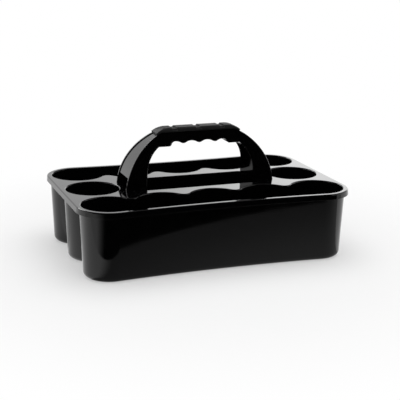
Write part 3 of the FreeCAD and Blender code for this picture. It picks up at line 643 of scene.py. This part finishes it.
@dataclass
class DressedPart:
    """One CAD node with its finish.

    Attributes:
        part: which node.
        finish: its look.
        node: the node's object, found when the part is built.
    """

    part: Part
    finish: PlasticFinish
    node: bpy.types.Object | None = field(default=None, init=False)

    def build(self) -> None:
        """Finds the CAD node."""
        self.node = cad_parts[self.part.value]

    def dress(self, groups: PlasticGroups) -> None:
        """Gives the node its material.

        Args:
            groups: the shared node groups.
        """
        material = Plastic(f"{self.part.value}_plastic", self.finish, groups).build()
        slots = self.node.data.materials
        if not slots:
            slots.append(material)
        for index in range(len(slots)):
            slots[index] = material
        log.info("dressed %s", self.part.value)


@dataclass
class Carrier:
    """The whole object.

    Attributes:
        parts: its dressed parts.
    """

    parts: list[DressedPart] = field(
        default_factory=lambda: [
            DressedPart(Part.BASKET, BASKET_FINISH),
            DressedPart(Part.HANDLE, HANDLE_FINISH),
            DressedPart(Part.GRIP_COVER, COVER_FINISH),
        ]
    )

    def build(self) -> None:
        """Builds every part."""
        for part in self.parts:
            part.build()

    def dress(self) -> None:
        """Dresses every part."""
        groups = PlasticGroups()
        for part in self.parts:
            part.dress(groups)


@dataclass
class Studio:
    """White floor, soft lamps, and cards that only reflections show.

    Attributes:
        lens: the picture's camera, whose heading most of the cards follow.
        floor_size: side of the floor.
        floor_drop: how far the floor lies below the object, so that their faces don't meet.
        paper: colour of the floor where it takes the object's shadow, linear.
        fade_reach: distances from the object over which the floor's glow grows to pure white; the
            weaker glow nearer the object is a painted shade around it, on top of its real shadow.
        fade_levels: share of pure white before and after that fade.
        world_levels: brightness of the world as a light, and as rays see it.
        cards: the cards.
        lamps: the lamps.
    """

    lens: Lens
    floor_size: float = 40.0
    floor_drop: float = 0.0002
    paper: tuple[float, float, float] = (0.66, 0.66, 0.66)
    fade_reach: tuple[float, float] = (0.24, 0.56)
    fade_levels: tuple[float, float] = (0.42, 1.0)
    world_levels: tuple[float, float] = (0.60, 1.0)
    cards: tuple[Card, ...] = CARDS
    lamps: tuple[Lamp, ...] = (TOP_LAMP, SIDE_LAMP)

    def build(self) -> None:
        """Builds the stage and the lamps."""
        self._world()
        self._floor()
        for card in self.cards:
            self._card(card)
        for lamp in self.lamps:
            self._lamp(lamp)

    def _world(self) -> None:
        """Sets a soft even world that looks white to the camera and in reflections."""
        world = bpy.data.worlds.new("studio")
        world.use_nodes = True
        world.node_tree.nodes.clear()
        nodes = NodeTree(world.node_tree)
        strength = nodes.remap(nodes.seen_rays(), (0.0, 1.0), self.world_levels)
        background = nodes.add("Background", _Color=WHITE)
        nodes.join(strength, background.inputs["Strength"])
        nodes.join(background.outputs["Background"], nodes.add("OutputWorld").inputs["Surface"])
        bpy.context.scene.world = world

    def _floor(self) -> None:
        """Lays the white sheet, which glows up to pure white away from the object; the weaker glow
        near the object is a painted shade around it, on top of the object's real shadow.
        """
        floor = self._plane("floor", self.floor_size, self.floor_size)
        floor.location = (0.0, 0.0, -self.floor_drop)
        material = bpy.data.materials.new("white_sheet")
        material.use_nodes = True
        material.node_tree.nodes.clear()
        nodes = NodeTree(material.node_tree)
        noise = nodes.add("TexNoise", _Scale=900.0, _Detail=3.0)
        nodes.join(nodes.add("TexCoord").outputs["Object"], noise.inputs["Vector"])
        bump = nodes.add("Bump", _Distance=0.00002)
        nodes.join(noise.outputs["Fac"], bump.inputs["Height"])
        paper = nodes.add("BsdfDiffuse", _Color=(*self.paper, 1.0))
        nodes.join(bump.outputs["Normal"], paper.inputs["Normal"])
        glow = nodes.add("Emission", _Color=WHITE, _Strength=1.0)
        reach = nodes.add("VectorMath", operation="LENGTH")
        nodes.join(nodes.add("TexCoord").outputs["Object"], reach.inputs[0])
        # Painted shade: the floor's share of glow grows with distance from the object, so the
        # floor is darker near the object than its real shadow alone makes it.
        away = nodes.remap(reach.outputs["Value"], self.fade_reach, self.fade_levels)
        mix = nodes.add("MixShader")
        nodes.join(nodes.maths("MULTIPLY", nodes.seen_rays(), away), mix.inputs["Fac"])
        nodes.join(paper.outputs["BSDF"], mix.inputs[1])
        nodes.join(glow.outputs["Emission"], mix.inputs[2])
        nodes.join(mix.outputs["Shader"], nodes.add("OutputMaterial").inputs["Surface"])
        floor.data.materials.append(material)

    def _card(self, card: Card) -> None:
        """Sets up one card.

        Args:
            card: what it is like.
        """
        plane = self._plane(card.name, *card.size)
        heading = math.radians(self.lens.azimuth if card.squared else 0.0)
        stand = Matrix.Rotation(math.radians(90 if card.stands else 0), 4, "X")
        turn = Matrix.Rotation(heading, 4, "Z")
        plane.matrix_world = turn @ Matrix.Translation(card.place) @ stand
        material = bpy.data.materials.new(f"{card.name}_glow")
        material.use_nodes = True
        material.node_tree.nodes.clear()
        nodes = NodeTree(material.node_tree)
        axes = nodes.add("SeparateXYZ")
        nodes.join(nodes.add("TexCoord").outputs["Object"], axes.inputs["Vector"])
        level = None
        for ramp in card.ramps:
            part = nodes.remap(axes.outputs[ramp.axis], ramp.reach, ramp.levels)
            level = part if level is None else nodes.maths("MULTIPLY", level, part)
        if card.fan:
            level = nodes.maths("ADD", level, self._fan(nodes, card, axes))
        glow = nodes.add("Emission", _Color=WHITE)
        nodes.join(level, glow.inputs["Strength"])
        nodes.join(glow.outputs["Emission"], nodes.add("OutputMaterial").inputs["Surface"])
        plane.data.materials.append(material)
        plane.visible_camera = False
        plane.visible_diffuse = False
        plane.visible_shadow = False
        plane.visible_transmission = False

    @staticmethod
    def _fan(nodes: NodeTree, card: Card, axes: bpy.types.Node) -> bpy.types.NodeSocket:
        """Works out the glow of a card's fan.

        Args:
            nodes: the tree of the card's material.
            card: the card.
            axes: node that gives a point's X and Y on the card.

        Returns:
            The glow's socket.
        """
        fan = card.fan
        right = nodes.maths("SUBTRACT", axes.outputs["X"], fan.centre[0] - card.place[0])
        near = nodes.maths("SUBTRACT", fan.centre[1] - card.place[1], axes.outputs["Y"])
        slope = nodes.maths("DIVIDE", right, nodes.maths("MAXIMUM", near, LEAST_STEP))
        return nodes.remap(slope, fan.slopes, (fan.level, 0.0))

    def _plane(self, name: str, width: float, depth: float) -> bpy.types.Object:
        """Makes a level rectangle that belongs to the stage.

        Args:
            name: name of the rectangle.
            width: its size along X.
            depth: its size along Y.

        Returns:
            The rectangle's object.
        """
        x, y = width / 2, depth / 2
        mesh = bpy.data.meshes.new(name)
        mesh.from_pydata([(-x, -y, 0), (x, -y, 0), (x, y, 0), (-x, y, 0)], [], [(0, 1, 2, 3)])
        plane = bpy.data.objects.new(name, mesh)
        bpy.context.scene.collection.objects.link(plane)
        return plane

    def _lamp(self, lamp: Lamp) -> None:
        """Hangs one lamp.

        Args:
            lamp: what it is like.
        """
        data = bpy.data.lights.new(lamp.name, "AREA")
        data.shape = "RECTANGLE"
        data.size, data.size_y = lamp.size
        data.energy = lamp.power
        holder = bpy.data.objects.new(lamp.name, data)
        place, aim = Vector(lamp.place), Vector(lamp.aim)
        holder.location = place
        holder.rotation_mode = "QUATERNION"
        holder.rotation_quaternion = (aim - place).to_track_quat("-Z", "Y")
        holder.visible_camera = False
        holder.visible_glossy = lamp.mirrored
        holder.visible_diffuse = lamp.lights
        bpy.context.scene.collection.objects.link(holder)


@dataclass
class Photographer:
    """The picture's camera.

    Attributes:
        lens: where it stands and what it covers.
    """

    lens: Lens

    def build(self) -> None:
        """Makes the camera and hands it to the scene."""
        data = bpy.data.cameras.new("camera")
        data.sensor_width = 36.0
        data.lens = self.lens.focal_length
        data.clip_start, data.clip_end = 0.01, 100.0
        camera = bpy.data.objects.new("camera", data)
        camera.matrix_world = self._place()
        scene = bpy.context.scene
        scene.collection.objects.link(camera)
        scene.camera = camera
        scene.view_settings.view_transform = "Standard"

    def _place(self) -> Matrix:
        """Works out the camera's place and turn.

        Returns:
            The camera's matrix.
        """
        lens = self.lens
        turn, lift, roll = (math.radians(v) for v in (lens.azimuth, lens.elevation, lens.roll))
        back = Vector(
            (math.sin(turn) * math.cos(lift), -math.cos(turn) * math.cos(lift), math.sin(lift))
        )
        level = Vector((math.cos(turn), math.sin(turn), 0.0))
        upright = back.cross(level)
        right = level * math.cos(roll) + upright * math.sin(roll)
        up = upright * math.cos(roll) - level * math.sin(roll)
        place = Vector(lens.target) + back * lens.distance
        columns = Matrix((right, up, back)).transposed().to_4x4()
        return Matrix.Translation(place) @ columns


def main() -> None:
    """Builds the whole scene."""
    logging.basicConfig(level=logging.INFO, format="%(name)s: %(message)s")
    lens = Lens()
    carrier = Carrier()
    carrier.build()
    carrier.dress()
    Studio(lens).build()
    Photographer(lens).build()


if __name__ == "__main__":
    main()
